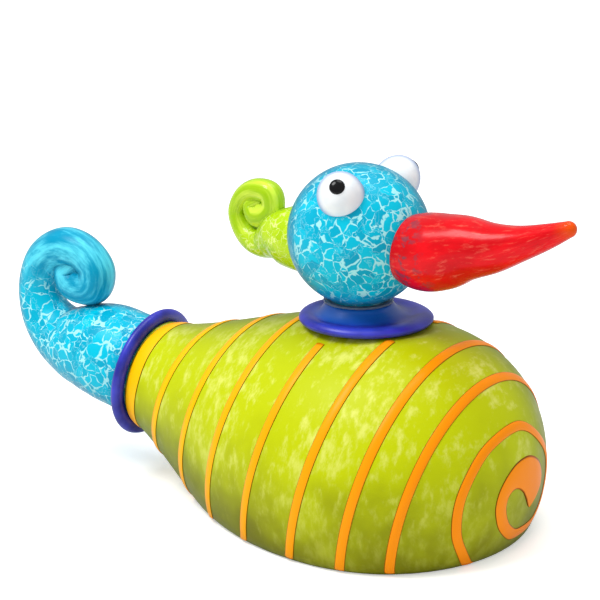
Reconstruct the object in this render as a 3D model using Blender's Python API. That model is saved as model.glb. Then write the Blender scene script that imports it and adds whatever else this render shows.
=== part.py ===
"""A hand-blown glass bird, built from separate pieces of coloured glass.

The bird looks along +X and rests on the flat underside of its body.  The world's Z axis is the axis
of its neck, and z = 0 is the surface that it stands on.  All sizes are in metres and degrees.
"""
import math

import bmesh
import bpy
from mathutils import Matrix, Vector

# ---------------------------------------------------------------- clearances
GAP = 0.0003                  # between two pieces that touch
TRAIL_LIFT = 0.0006           # inner face of the laid-on trail above the body's true surface

# ---------------------------------------------------------------- body
BODY_LENGTH = 0.304           # along its own axis, from tail mouth to nose
BODY_RADIUS = 0.108
BODY_WALL = 0.006
OUTER_RINGS = (17, 12)        # behind and before the widest place
INNER_RINGS = (11, 8)
BODY_WIDEST = 0.66            # share of the length at which the body is widest
BODY_PITCH = 9.4              # nose down
BODY_MIDDLE_X = -0.0216       # the axis' middle, from the neck axis
BODY_AXIS_HEIGHT = 0.0427     # the axis' middle above the ground base
TAIL_MOUTH_RADIUS = 0.0395
TAIL_RISE = 0.0055            # how far the tail end bends up from the straight axis
NOSE_RISE = 0.013             # how far the nose bends up from the straight axis
BASE_ROUNDING = 0.007         # half height over which the wall rounds into the flat base
BASE_THICKNESS = 0.008
NECK_REGION = 0.1             # only the skin above this height is pressed under the collar
NOSE_POWER = 2.2
REAR_POWER = 1.3

# ---------------------------------------------------------------- trail laid round the body
TRAIL_WIDTH = 0.0066
TRAIL_THICKNESS = 0.0011
TRAIL_START_WIDTH = 0.0105
TRAIL_WIDEST_TURN = 0.78
TRAIL_WIDE_TURNS = 0.5
TRAIL_KNOTS = (               # (turns, place along the body's length)
    (0.50, 0.006), (0.62, 0.015), (0.75, 0.0225), (0.88, 0.0235), (1.0, 0.029), (1.25, 0.0584), (2, 0.158),
    (3, 0.272), (4, 0.389), (5, 0.524), (6, 0.661), (7, 0.778), (8, 0.874), (8.6, 0.944))
TRAIL_FIRST_TURN, TRAIL_LAST_TURN = 0.56, 8.6
TRAIL_TOP = 0.8               # width of the outer face, as a share
NOSE_TRAIL = (                # edges of the last turn, millimetres up and right of the axis: outer, inner
    (-28.9, 51.1, -25.7, 45.3), (-2.4, 65.4, -2.2, 58.8), (27.1, 62.7, 24.5, 56.7), (53.4, 39.8, 48.2, 35.8),
    (61.0, 1.8, 54.4, 1.8), (41.5, -30.1, 36.1, -26.3), (21.0, -45.5, 18.2, -39.5), (-5.4, -44.0, -4.6, -37.4),
    (-17.6, -31.8, -14.4, -26.0), (-22.2, -18.5, -16.0, -15.5), (-22.7, -4.5, -15.5, -3.5),
    (-21.5, 9.5, -14.2, 6.0), (-17.0, 18.5, -11.0, 12.0), (-9.0, 27.5, -6.0, 18.0), (-1.0, 32.5, 1.0, 22.5),
    (9.5, 35.3, 8.0, 24.3), (20.5, 32.5, 14.3, 22.6), (30.0, 24.0, 17.6, 17.5), (35.9, 12.2, 16.7, 12.0),
    (36.2, -3.0, 12.5, 6.3), (29.5, -17.0, 8.0, 2.8), (20.5, -24.5, 4.5, 0.2), (11.0, -26.0, 1.0, -2.3),
    (4.5, -20.5, -1.2, -4.5), (0.0, -9.5, -2.3, -6.0))
NOSE_TRAIL_ACROSS = 7         # points from edge to edge
TRAIL_STEPS = 44              # in one turn
TRAIL_FLOOR_CLEARANCE = 0.0035

# ---------------------------------------------------------------- neck
NECK_BORE_RADIUS = 0.0215
SLEEVE_WALL = 0.0014
COLLAR_RADIUS = 0.046
COLLAR_CENTRE_X = 0.0063      # the disc is a little off the neck's centre
COLLAR_SINK = 0.0073          # of the rim's middle, under the body's axis height plus its radius
COLLAR_RIM_HEIGHT = BODY_AXIS_HEIGHT + BODY_RADIUS - COLLAR_SINK
COLLAR_RIM_HALF = 0.0036
COLLAR_NECK_RISE = 0.0102     # top of the collar's short neck over the rim's middle, the profile's highest
COLLAR_PROFILE = (            # (share from bore to rim, height over the rim's middle in rim halves)
    (0.00, -1.00), (0.00, 2.833), (0.09, 2.611), (0.16, 1.861), (0.28, 1.222), (0.45, 0.778), (0.62, 0.889),
    (0.78, 1.00), (0.88, 0.80), (0.96, 0.50), (1.00, 0.00), (0.96, -0.50), (0.88, -0.85), (0.78, -1.00))
SPIGOT_LENGTH = 0.030         # of the head, below the collar's rim
SLEEVE_SHORTER = 0.006        # than the spigot, at the bottom
FLANGE_THICKNESS = 0.0013
FLANGE_RADIUS = 0.0240
SEAT_SLOPE = 0.25             # how fast the pressed seat runs out into the body

# ---------------------------------------------------------------- head
HEAD_RADIUS = 0.0487
HEAD_SEAT_GAP = 0.0005        # between the ball and the sleeve's flange
HEAD_WALL = 0.004
HEAD_YAW = -5.7               # how far the head is turned at rest
EYE_DIRECTION = (0.1755, 0.674, 0.717)     # forward, sideways, up from the ball's middle
EYE_RADIUS = 0.0160
EYE_HEIGHT = 0.0152
PUPIL_RADIUS = 0.0056
RIGHT_LOOK = (0.365, 0.740, 0.560)         # forward, sideways, up from the white's middle
LEFT_LOOK = (0.250, 0.860, 0.450)
PUPIL_THICKNESS = 0.0012
TIP_SHOULDER = 0.72           # radius half way from the beak's last station to its tip, as a share

# Middle lines in the head's own upright plane, as (distance beyond the ball, height over its middle, radius)
BEAK_ROOT = (-0.0067, -0.0038, 0.0236)
BEAK_LINE = (
    (-0.0007, -0.0039, 0.0252), (0.0073, -0.0033, 0.0262), (0.0206, -0.0006, 0.0253),
    (0.0372, 0.0042, 0.0212), (0.0589, 0.0080, 0.0159), (0.0801, 0.0140, 0.0116),
    (0.1009, 0.0218, 0.0082), (0.1154, 0.0283, 0.0055))
BEAK_TIP = (0.1223, 0.0307)
CREST_ROOT = (-0.0057, -0.0106, 0.0235)
CREST_LINE = (
    (0.0023, -0.0106, 0.0226), (0.0104, -0.0110, 0.0212), (0.0184, -0.0118, 0.0185),
    (0.0265, -0.0153, 0.0145), (0.0346, -0.0188, 0.0107), (0.0438, -0.0181, 0.0084),
    (0.0536, -0.0119, 0.0067), (0.0591, 0.0001, 0.0056), (0.0543, 0.0123, 0.0055),
    (0.0408, 0.0202, 0.0062), (0.0298, 0.0197, 0.0058), (0.0258, 0.0145, 0.0045),
    (0.0308, 0.0089, 0.0044), (0.0378, 0.0059, 0.0042), (0.0431, 0.0063, 0.0036),
    (0.0438, 0.0089, 0.0022))

# ---------------------------------------------------------------- tail
RING_HALF_WIDTH = 0.0042      # along the body's axis
RING_OUTER_RADIUS = TAIL_MOUTH_RADIUS + 0.0082
TAIL_ROOT_RADIUS = TAIL_MOUTH_RADIUS - 0.0029
TAIL_WALL = 0.005
TAIL_SPIGOT_LENGTH = 0.024
TAIL_SLEEVE_SHARE = 0.75      # of the spigot's length
TAIL_HOLLOW_LEAST = 0.0140    # the curl is solid where its radius is less
RING_SECTION_POINTS = 14
TAIL_LINE = (                 # (forward, up, radius) from the tail ring's middle
    (-0.0215, 0.0052, 0.0377), (-0.0370, 0.0084, 0.0366), (-0.0518, 0.0098, 0.0336),
    (-0.0669, 0.0111, 0.0292), (-0.0834, 0.0161, 0.0232), (-0.0977, 0.0293, 0.0186),
    (-0.1042, 0.0514, 0.0150), (-0.0967, 0.0734, 0.0140), (-0.0744, 0.0841, 0.0141),
    (-0.0579, 0.0803, 0.0128), (-0.0477, 0.0678, 0.0124), (-0.0511, 0.0581, 0.0108),
    (-0.0614, 0.0538, 0.0082), (-0.0714, 0.0558, 0.0068), (-0.0749, 0.0623, 0.0048),
    (-0.0709, 0.0658, 0.0034))

# ---------------------------------------------------------------- facets
ROUND_BODY = 40
ROUND_HEAD = 36
ROUND_TUBE = 24
ROUND_EYE = 28


# ---------------------------------------------------------------- helpers
def clear_scene():
    for item in list(bpy.data.objects):
        bpy.data.objects.remove(item, do_unlink=True)


def glass(name, colour, roughness, transmission=0.0, alpha=1.0):
    """A plain Principled material for one kind of glass."""
    material = bpy.data.materials.new(name)
    material.use_nodes = True
    shader = material.node_tree.nodes["Principled BSDF"]
    shader.inputs["Base Color"].default_value = (*colour, 1.0)
    shader.inputs["Roughness"].default_value = roughness
    shader.inputs["Metallic"].default_value = 0.0
    shader.inputs["Transmission Weight"].default_value = transmission
    shader.inputs["Alpha"].default_value = alpha
    return material


def make_object(name, points, faces, material):
    mesh = bpy.data.meshes.new(name)
    mesh.from_pydata([tuple(point) for point in points], [], faces)
    work = bmesh.new()
    work.from_mesh(mesh)
    bmesh.ops.remove_doubles(work, verts=work.verts, dist=1e-7)
    bmesh.ops.recalc_face_normals(work, faces=work.faces)
    work.to_mesh(mesh)
    work.free()
    mesh.materials.append(material)
    thing = bpy.data.objects.new(name, mesh)
    bpy.context.scene.collection.objects.link(thing)
    return thing


def loft(rings, closed=False):
    """Faces between rings of points, as (points, faces).  A ring of one point is a pole; the last ring
    joins the first when closed."""
    points, starts = [], []
    for ring in rings:
        starts.append(len(points))
        points.extend(ring)
    faces = []
    pairs = list(zip(range(len(rings)), list(range(1, len(rings))) + [0]))
    for low, high in pairs if closed else pairs[:-1]:
        a, b = starts[low], starts[high]
        count = max(len(rings[low]), len(rings[high]))
        for i in range(count):
            j = (i + 1) % count
            if len(rings[low]) == 1:
                faces.append((a, b + j, b + i))
            elif len(rings[high]) == 1:
                faces.append((a + i, a + j, b))
            else:
                faces.append((a + i, a + j, b + j, b + i))
    return points, faces


def circle(count):
    return [2 * math.pi * i / count for i in range(count)]


def turned(profile, count, centre=(0.0, 0.0, 0.0)):
    """Rings about the upright axis through centre, from a profile of (radius, z)."""
    rings = []
    for radius, z in profile:
        if radius < 1e-6:
            rings.append([Vector((centre[0], centre[1], z))])
        else:
            rings.append([Vector((centre[0] + radius * math.cos(t), centre[1] + radius * math.sin(t), z))
                          for t in circle(count)])
    return rings


def smooth_line(knots, per_span):
    """Catmull-Rom curve through knots, each a tuple of numbers, with per_span steps between two."""
    out = []
    last = len(knots) - 1
    for i in range(last):
        p0, p1, p2, p3 = (knots[max(0, min(last, k))] for k in (i - 1, i, i + 1, i + 2))
        for step in range(per_span):
            t = step / per_span
            out.append(tuple(
                0.5 * (2 * b + (c - a) * t + (2 * a - 5 * b + 4 * c - d) * t * t
                       + (3 * b - a - 3 * c + d) * t ** 3)
                for a, b, c, d in zip(p0, p1, p2, p3)))
    out.append(knots[last])
    return out


def tube_rings(line, count):
    """Rings round a middle line of (x, z, radius) in the plane y = 0."""
    rings = []
    last = len(line) - 1
    for i, (x, z, radius) in enumerate(line):
        before, after = line[max(0, i - 1)], line[min(last, i + 1)]
        along = Vector((after[0] - before[0], 0.0, after[1] - before[1])).normalized()
        across = Vector((along.z, 0.0, -along.x))
        rings.append([Vector((x, 0.0, z)) + radius * (math.cos(t) * across + math.sin(t) * Vector((0, 1, 0)))
                      for t in circle(count)])
    return rings


def round_end(line, steps=3):
    """The middle line's last point, carried on into a half-round end that closes on its pole."""
    (x0, z0, _), (x1, z1, radius) = line[-2], line[-1]
    length = math.hypot(x1 - x0, z1 - z0)
    dx, dz = (x1 - x0) / length, (z1 - z0) / length
    out = []
    for i in range(1, steps + 1):
        angle = 0.5 * math.pi * i / (steps + 0.5)
        out.append((x1 + dx * radius * math.sin(angle), z1 + dz * radius * math.sin(angle),
                    radius * math.cos(angle)))
    pole = Vector((x1 + dx * radius, 0.0, z1 + dz * radius))
    return out, pole


# ---------------------------------------------------------------- the body's surface
def body_axes():
    pitch = math.radians(BODY_PITCH)
    along = Vector((math.cos(pitch), 0.0, -math.sin(pitch)))
    upward = Vector((math.sin(pitch), 0.0, math.cos(pitch)))
    return along, upward


def collar_underside():
    return COLLAR_RIM_HEIGHT - COLLAR_RIM_HALF


def body_axis_point(share, offset=0.0):
    """Point on the body's bent middle line; offset lengthens the nose by a wall or a lift."""
    along, upward = body_axes()
    nose = (1 - BODY_WIDEST) * BODY_LENGTH + offset
    run = share * BODY_LENGTH
    if share > BODY_WIDEST:
        run = BODY_WIDEST * BODY_LENGTH + nose * (share - BODY_WIDEST) / (1 - BODY_WIDEST)
    bend = TAIL_RISE * (1 - share) ** 4 + NOSE_RISE * share ** 5
    middle = Vector((BODY_MIDDLE_X, 0.0, BODY_AXIS_HEIGHT))
    return middle + along * (run - BODY_LENGTH / 2) + upward * bend


def body_radius(share, offset=0.0):
    """Round section's radius: a sine rise from the mouth, then a super-ellipse to the nose."""
    if share <= BODY_WIDEST:
        rise = math.sin(0.5 * math.pi * max(share, 0.0) / BODY_WIDEST) ** REAR_POWER
        return TAIL_MOUTH_RADIUS + offset + (BODY_RADIUS - TAIL_MOUTH_RADIUS) * rise
    reach = min((share - BODY_WIDEST) / (1 - BODY_WIDEST), 1.0)
    return (BODY_RADIUS + offset) * math.sqrt(max(0.0, 1 - reach ** NOSE_POWER))


def rounded_floor(z, floor):
    """z, but never under floor, with a parabola over BASE_ROUNDING to each side of it."""
    above = z - floor
    if above <= -BASE_ROUNDING:
        return floor
    if above >= BASE_ROUNDING:
        return z
    return floor + (above + BASE_ROUNDING) ** 2 / (4 * BASE_ROUNDING)


def body_point(share, angle, offset=0.0):
    """Point of the body's surface: offset outwards, flattened to the base and pressed at the neck."""
    along, upward = body_axes()
    near_side = Vector((0.0, -1.0, 0.0))
    point = body_axis_point(share, offset) + body_radius(share, offset) * (
        math.cos(angle) * upward + math.sin(angle) * near_side)
    floor = BASE_THICKNESS if offset < 0 else 0.0
    point.z = rounded_floor(point.z, floor)
    reach = math.hypot(point.x - COLLAR_CENTRE_X, point.y) - COLLAR_RADIUS - 2 * GAP
    seat = collar_underside() - GAP + min(offset, 0.0) + SEAT_SLOPE * max(reach, 0.0)
    if point.z > NECK_REGION:
        point.z = min(point.z, seat)
    return point


def body_stations(rear, nose):
    """Places along the body, finer towards the nose."""
    return [BODY_WIDEST * i / rear for i in range(rear + 1)] + [
        BODY_WIDEST + (1 - BODY_WIDEST) * math.sin(0.5 * math.pi * i / nose) for i in range(1, nose + 1)]


def body_shell(material):
    """Hollow body, open at the tail and under the neck."""
    outer_shares, inner_shares = body_stations(*OUTER_RINGS), body_stations(*INNER_RINGS)
    rings = []
    for shares, offset in ((reversed(inner_shares), -BODY_WALL), (outer_shares, 0.0)):
        for share in shares:
            if share >= 1.0:
                rings.append([body_axis_point(1.0, offset)])
            else:
                rings.append([body_point(share, angle, offset) for angle in circle(ROUND_BODY)])
    points, faces = loft(rings)
    shell = make_object("body_shell", points, faces, material)
    low, high = NECK_REGION, collar_underside() + BODY_RADIUS
    bore = make_object("neck_bore", *loft(
        [[Vector((0, 0, low))]] + turned([(NECK_BORE_RADIUS, low), (NECK_BORE_RADIUS, high)], ROUND_HEAD)
        + [[Vector((0, 0, high))]]), material)
    cut = shell.modifiers.new("neck_opening", "BOOLEAN")
    cut.operation = "DIFFERENCE"
    cut.solver = "EXACT"
    cut.object = bore
    bpy.context.view_layer.update()
    cut_mesh = bpy.data.meshes.new_from_object(shell.evaluated_get(bpy.context.evaluated_depsgraph_get()))
    shell.modifiers.clear()
    shell.data = cut_mesh
    bpy.data.objects.remove(bore, do_unlink=True)
    return shell


# ---------------------------------------------------------------- the trail
def knot_slope(k):
    """Slope of the trail's place at a knot, from its two neighbours."""
    (t0, s0), (t1, s1) = TRAIL_KNOTS[max(k - 1, 0)], TRAIL_KNOTS[min(k + 1, len(TRAIL_KNOTS) - 1)]
    return (s1 - s0) / (t1 - t0)


def trail_share(turn):
    """Place along the body of the trail's middle after so many turns: a Hermite curve through the knots."""
    k = max(i for i in range(len(TRAIL_KNOTS) - 1) if i == 0 or TRAIL_KNOTS[i][0] <= turn)
    (t0, s0), (t1, s1) = TRAIL_KNOTS[k], TRAIL_KNOTS[k + 1]
    span = t1 - t0
    t = (turn - t0) / span
    return ((2 * t ** 3 - 3 * t ** 2 + 1) * s0 + (t ** 3 - 2 * t ** 2 + t) * span * knot_slope(k)
            + (3 * t ** 2 - 2 * t ** 3) * s1 + (t ** 3 - t ** 2) * span * knot_slope(k + 1))


def trail_width(turn):
    """Wide where the thread was started, beside the tail ring."""
    wide = max(0.0, 1 - abs(turn - TRAIL_WIDEST_TURN) / TRAIL_WIDE_TURNS)
    return TRAIL_WIDTH + (TRAIL_START_WIDTH - TRAIL_WIDTH) * wide ** 2 * (3 - 2 * wide)


def trail_section(turn):
    """Four corners of the trail's section, square to its run and to the body."""
    step = 1e-3
    angle = -2 * math.pi * turn
    middle = body_point(trail_share(turn), angle)
    ahead = body_point(trail_share(turn + step), angle - 2 * math.pi * step)
    behind = body_point(trail_share(turn - step), angle + 2 * math.pi * step)
    wider = body_point(min(trail_share(turn) + step, 0.9999), angle)
    run = (ahead - behind).normalized()
    normal = run.cross(wider - middle).normalized()
    if normal.dot(middle - body_axis_point(min(trail_share(turn), 1.0))) < 0:
        normal.negate()
    side = normal.cross(run).normalized()
    half = trail_width(turn) / 2
    low, high = TRAIL_LIFT, TRAIL_LIFT + TRAIL_THICKNESS
    return [middle + side * half + normal * low, middle + side * half * TRAIL_TOP + normal * high,
            middle - side * half * TRAIL_TOP + normal * high, middle - side * half + normal * low]


def trail_shows(turn):
    """The trail is ground off at the base and stops at the collar and the tail ring."""
    if trail_share(turn) * BODY_LENGTH < trail_width(turn) / 2 + GAP:
        return False
    place = body_point(trail_share(turn), -2 * math.pi * turn)
    reach = math.hypot(place.x - COLLAR_CENTRE_X, place.y) - COLLAR_RADIUS
    under_collar = place.z > NECK_REGION and reach < TRAIL_WIDTH / 2 + 2 * GAP
    return place.z > TRAIL_FLOOR_CLEARANCE and not under_collar


def trail_strip(number, rings, material):
    """Closed strip from sections whose points run along the inner face and back along the outer one."""
    points, faces = loft(rings)
    count = len(rings[0])
    last = len(points) - count
    for i in range(count // 2 - 1):
        faces.append((i, i + 1, count - 2 - i, count - 1 - i))
        faces.append((last + i, last + count - 1 - i, last + count - 2 - i, last + i + 1))
    return make_object(f"trail_strip_{number:02d}", points, faces, material)


def nose_point(up, right, offset):
    """Point of the nose at a place in the body's section, measured from its axis."""
    radius = math.hypot(up, right)
    reach = (1 - (radius / BODY_RADIUS) ** 2) ** (1 / NOSE_POWER)
    return body_point(BODY_WIDEST + (1 - BODY_WIDEST) * reach, math.atan2(right, up), offset)


def nose_section(edges):
    outer_up, outer_right, inner_up, inner_right = (value / 1000 for value in edges)
    section = []
    for offset, top in ((TRAIL_LIFT, 1.0), (TRAIL_LIFT + TRAIL_THICKNESS, TRAIL_TOP)):
        row = []
        for i in range(NOSE_TRAIL_ACROSS):
            share = 0.5 + top * (i / (NOSE_TRAIL_ACROSS - 1) - 0.5)
            row.append(nose_point(outer_up + (inner_up - outer_up) * share,
                                  outer_right + (inner_right - outer_right) * share, offset))
        section.append(row)
    return section[0] + section[1][::-1]


def spiral_trail(material):
    """The laid-on trail, a closed strip for each stretch between the base, the collar and the ends."""
    strip, number = [], 1
    steps = int((TRAIL_LAST_TURN - TRAIL_FIRST_TURN) * TRAIL_STEPS)
    for i in range(steps + 1):
        turn = TRAIL_FIRST_TURN + i / TRAIL_STEPS
        shows = trail_shows(turn)
        if shows:
            low_near, high_near, high_far, low_far = trail_section(turn)
            strip.append([low_near, low_far, high_far, high_near])
        if strip and (not shows or i == steps):
            if len(strip) > 2:
                trail_strip(number, strip, material)
                number += 1
            strip = []
    trail_strip(number, [nose_section(edges) for edges in smooth_line(NOSE_TRAIL, 3)], material)


# ---------------------------------------------------------------- neck pieces
def neck_collar(material):
    """Dished disc with a short neck: each ring runs from the bore's circle out to the rim's circle."""
    rings = []
    for share, height in COLLAR_PROFILE:
        radius = NECK_BORE_RADIUS + (COLLAR_RADIUS - NECK_BORE_RADIUS) * share
        rings += turned([(radius, COLLAR_RIM_HEIGHT + COLLAR_RIM_HALF * height)], ROUND_HEAD,
                        (COLLAR_CENTRE_X * share, 0.0, 0.0))
    return make_object("neck_collar", *loft(rings, closed=True), material)


def spigot_radius():
    return NECK_BORE_RADIUS - 2 * GAP - SLEEVE_WALL


def flange_underside():
    return COLLAR_RIM_HEIGHT + COLLAR_NECK_RISE + GAP


def head_middle():
    """The ball's middle: its spigot's shoulder sits just over the sleeve's flange."""
    shoulder = flange_underside() + FLANGE_THICKNESS + HEAD_SEAT_GAP
    return Vector((0.0, 0.0, shoulder + math.sqrt(HEAD_RADIUS ** 2 - spigot_radius() ** 2)))


def beyond_ball(way, entry):
    """(x, z, radius) of a middle line's entry on the beak's side (way 1) or the crest's (way -1)."""
    out, up, *rest = entry
    return (way * (HEAD_RADIUS + out), head_middle().z + up, *rest)


def neck_sleeve(material):
    """Clear silicone sleeve round the head's spigot; its flange carries the head."""
    inner, outer = spigot_radius() + GAP, NECK_BORE_RADIUS - GAP
    low = COLLAR_RIM_HEIGHT - SPIGOT_LENGTH + SLEEVE_SHORTER
    flange = flange_underside()
    profile = [(inner, low), (outer, low), (outer, flange), (FLANGE_RADIUS, flange),
               (FLANGE_RADIUS, flange + FLANGE_THICKNESS), (inner, flange + FLANGE_THICKNESS)]
    return make_object("neck_sleeve", *loft(turned(profile, ROUND_HEAD), closed=True), material)


# ---------------------------------------------------------------- head pieces
def turn_head(thing):
    thing.data.transform(Matrix.Rotation(math.radians(HEAD_YAW), 4, "Z"))
    return thing


def head_shell(material):
    """Hollow ball with an open spigot."""
    spigot = spigot_radius()
    bore = spigot - HEAD_WALL
    inner_radius = HEAD_RADIUS - HEAD_WALL
    bottom = COLLAR_RIM_HEIGHT - SPIGOT_LENGTH
    outer_stop = math.asin(spigot / HEAD_RADIUS)
    inner_stop = math.asin(bore / inner_radius)
    height = head_middle().z
    outer, inner = [], []
    for i in range(17):
        angle = math.pi - (math.pi - outer_stop) * i / 16
        outer.append((HEAD_RADIUS * math.sin(angle) if i else 0.0, height - HEAD_RADIUS * math.cos(angle)))
    for i in range(13):
        angle = inner_stop + (math.pi - inner_stop) * i / 12
        inner.append((inner_radius * math.sin(angle) if i < 12 else 0.0,
                      height - inner_radius * math.cos(angle)))
    profile = outer + [(spigot, bottom), (bore, bottom)] + inner
    return turn_head(make_object("head_shell", *loft(turned(profile, ROUND_HEAD)), material))


def dish(centre_direction, radius, count, rings_inside=3):
    """Rings on the head's ball, from the middle of a round patch out to its edge."""
    lift = HEAD_RADIUS + GAP
    middle = head_middle()
    axis = centre_direction.normalized()
    side = Vector((0, 1, 0)).cross(axis).normalized() if abs(axis.y) < 0.5 else axis.cross(
        Vector((0, 0, 1))).normalized()
    other = axis.cross(side)
    out = [[middle + axis * lift]]
    for i in range(1, rings_inside + 1):
        lean = math.asin(radius / lift) * i / rings_inside
        out.append([middle + lift * (math.cos(lean) * axis + math.sin(lean) * (
            math.cos(t) * side + math.sin(t) * other)) for t in circle(count)])
    return out, axis, side, other


def horn(name, way, root, line, tip, steps, material):
    """A tapering tube that starts on the head's ball and ends in a round tip."""
    root_x, root_z, root_radius = beyond_ball(way, root)
    direction = Vector((root_x, 0.0, root_z)) - head_middle()
    patch, _, _, _ = dish(direction, root_radius, ROUND_TUBE)
    path = smooth_line([beyond_ball(way, entry) for entry in line], steps)
    if tip:
        tip_x, tip_z = beyond_ball(way, tip)
        path.append(((path[-1][0] + tip_x) / 2, (path[-1][1] + tip_z) / 2, TIP_SHOULDER * path[-1][2]))
        pole = Vector((tip_x, 0.0, tip_z))
    else:
        extra, pole = round_end(path)
        path = path + extra
    tube = tube_rings(path, ROUND_TUBE)
    edge = patch[-1]
    first = tube[0]
    best = min(range(ROUND_TUBE), key=lambda k: (first[k] - edge[0]).length)
    forward = (first[(best + 1) % ROUND_TUBE] - edge[1]).length
    backward = (first[(best - 1) % ROUND_TUBE] - edge[1]).length
    turn = 1 if forward <= backward else -1
    tube = [[ring[(best + turn * k) % ROUND_TUBE] for k in range(ROUND_TUBE)] for ring in tube]
    return turn_head(make_object(name, *loft(patch + tube + [[pole]]), material))


def sideways(side, direction):
    forward, outward, up = direction
    return Vector((forward, side * outward, up)).normalized()


def eye_white(side_name, side, material):
    """Domed white set on the ball: half an ellipsoid over a dished back."""
    patch, axis, across, other = dish(sideways(side, EYE_DIRECTION), EYE_RADIUS, ROUND_EYE)
    lift = HEAD_RADIUS + GAP
    base = math.sqrt(lift ** 2 - EYE_RADIUS ** 2)
    middle = head_middle()
    height = HEAD_RADIUS + EYE_HEIGHT - base
    rings = []
    for i in range(1, 8):
        angle = 0.5 * math.pi * i / 8
        rings.append([middle + axis * (base + height * math.sin(angle)) + EYE_RADIUS * math.cos(angle) * (
            math.cos(t) * across + math.sin(t) * other) for t in circle(ROUND_EYE)])
    pole = [middle + axis * (base + height)]
    return turn_head(make_object(side_name + "_eye_white", *loft(patch + rings + [pole]), material))


def eye_pupil(side_name, side, look_direction, material):
    """Thin black button that follows the white's dome."""
    lift = HEAD_RADIUS + GAP
    base = math.sqrt(lift ** 2 - EYE_RADIUS ** 2)
    middle = head_middle()
    axis = sideways(side, EYE_DIRECTION)
    height = HEAD_RADIUS + EYE_HEIGHT - base
    look = sideways(side, look_direction)
    across = look.cross(Vector((0, 0, 1))).normalized()
    other = look.cross(across)

    def dome(direction, over):
        along = direction.dot(axis)
        out = (direction - axis * along).length
        reach = 1 / math.sqrt((along / height) ** 2 + (out / EYE_RADIUS) ** 2)
        return middle + axis * base + direction * (reach + over)

    rings = []
    spread = PUPIL_RADIUS / height
    for shares, over in (((0.0, 0.5, 1.0), GAP), ((0.85, 0.45, 0.0), GAP + PUPIL_THICKNESS)):
        for share in shares:
            if share == 0.0:
                rings.append([dome(look, over)])
            else:
                rings.append([dome((look + spread * share * (
                    math.cos(t) * across + math.sin(t) * other)).normalized(), over) for t in circle(16)])
    return turn_head(make_object(side_name + "_pupil", *loft(rings), material))


# ---------------------------------------------------------------- tail pieces
def ring_centre():
    """Middle of the tail ring, one gap behind the body's mouth."""
    along, _ = body_axes()
    return body_axis_point(0.0) - along * (RING_HALF_WIDTH + GAP)


def tail_ring_rings(profile, count):
    """Rings about the body's axis from (radius, run) pairs; run is measured from the ring's middle."""
    along, upward = body_axes()
    side = Vector((0, 1, 0))
    centre = ring_centre()
    return [[centre + along * run + radius * (math.cos(t) * upward + math.sin(t) * side)
             for t in circle(count)] for radius, run in profile]


def tail_collar(material):
    inner = TAIL_ROOT_RADIUS + GAP
    middle, half = (inner + RING_OUTER_RADIUS) / 2, (RING_OUTER_RADIUS - inner) / 2
    profile = [(middle + half * math.cos(t), RING_HALF_WIDTH * math.sin(t)) for t in circle(RING_SECTION_POINTS)]
    return make_object("tail_collar", *loft(tail_ring_rings(profile, ROUND_BODY), closed=True), material)


def tail_spigot_radius():
    return TAIL_MOUTH_RADIUS - BODY_WALL - 2 * GAP - SLEEVE_WALL


def tail_sleeve(material):
    inner, outer = tail_spigot_radius() + GAP, TAIL_MOUTH_RADIUS - BODY_WALL - GAP
    start = RING_HALF_WIDTH + 3 * GAP
    stop = start + TAIL_SPIGOT_LENGTH * TAIL_SLEEVE_SHARE
    profile = [(inner, start), (outer, start), (outer, stop), (inner, stop)]
    return make_object("tail_sleeve", *loft(tail_ring_rings(profile, ROUND_TUBE), closed=True), material)


def tail_curl(material):
    """Blown curl: a hollow root with an open spigot that enters the body, then a solid scroll."""
    spigot = tail_spigot_radius()
    shoulder = RING_HALF_WIDTH
    tip = shoulder + GAP + TAIL_SPIGOT_LENGTH
    root_rings = tail_ring_rings([(spigot, tip), (spigot, shoulder), (TAIL_ROOT_RADIUS, shoulder),
                                  (TAIL_ROOT_RADIUS, -RING_HALF_WIDTH)], ROUND_TUBE)
    centre = ring_centre()
    path = smooth_line([(centre.x + forward, centre.z + up, radius) for forward, up, radius in TAIL_LINE], 3)
    extra, pole = round_end(path)
    outer = root_rings + tube_rings(path + extra, ROUND_TUBE) + [[pole]]
    first_thin = next(i for i, (_, _, radius) in enumerate(path) if radius < TAIL_HOLLOW_LEAST)
    hollow = [(x, z, radius - TAIL_WALL) for x, z, radius in path[:first_thin]]
    bore_end, bore_pole = round_end(hollow)
    bore_rings = tail_ring_rings([(spigot - TAIL_WALL, tip), (spigot - TAIL_WALL, -RING_HALF_WIDTH)],
                                 ROUND_TUBE)
    inner = bore_rings + tube_rings(hollow + bore_end, ROUND_TUBE) + [[bore_pole]]
    return make_object("tail_curl", *loft(list(reversed(inner)) + outer), material)


# ---------------------------------------------------------------- the whole bird
def build():
    clear_scene()
    green = glass("green_glass", (0.28, 0.42, 0.02), 0.28)
    orange = glass("orange_trail_glass", (0.95, 0.35, 0.01), 0.25)
    turquoise = glass("turquoise_glass", (0.02, 0.36, 0.52), 0.22)
    cobalt = glass("cobalt_glass", (0.02, 0.03, 0.45), 0.20)
    red = glass("red_glass", (0.70, 0.02, 0.02), 0.15)
    lime = glass("lime_glass", (0.45, 0.62, 0.01), 0.10)
    white = glass("white_glass", (0.85, 0.86, 0.88), 0.30)
    black = glass("black_glass", (0.01, 0.01, 0.01), 0.15)
    silicone = glass("clear_silicone", (0.80, 0.82, 0.84), 0.40, alpha=0.5)
    body_shell(green)
    spiral_trail(orange)
    tail_collar(cobalt)
    tail_curl(turquoise)
    tail_sleeve(silicone)
    neck_collar(cobalt)
    neck_sleeve(silicone)
    head_shell(turquoise)
    horn("beak", 1, BEAK_ROOT, BEAK_LINE, BEAK_TIP, 2, red)
    horn("crest_curl", -1, CREST_ROOT, CREST_LINE, None, 2, lime)
    for side_name, side, look in (("right", -1, RIGHT_LOOK), ("left", 1, LEFT_LOOK)):
        eye_white(side_name, side, white)
        eye_pupil(side_name, side, look, black)


build()
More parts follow.
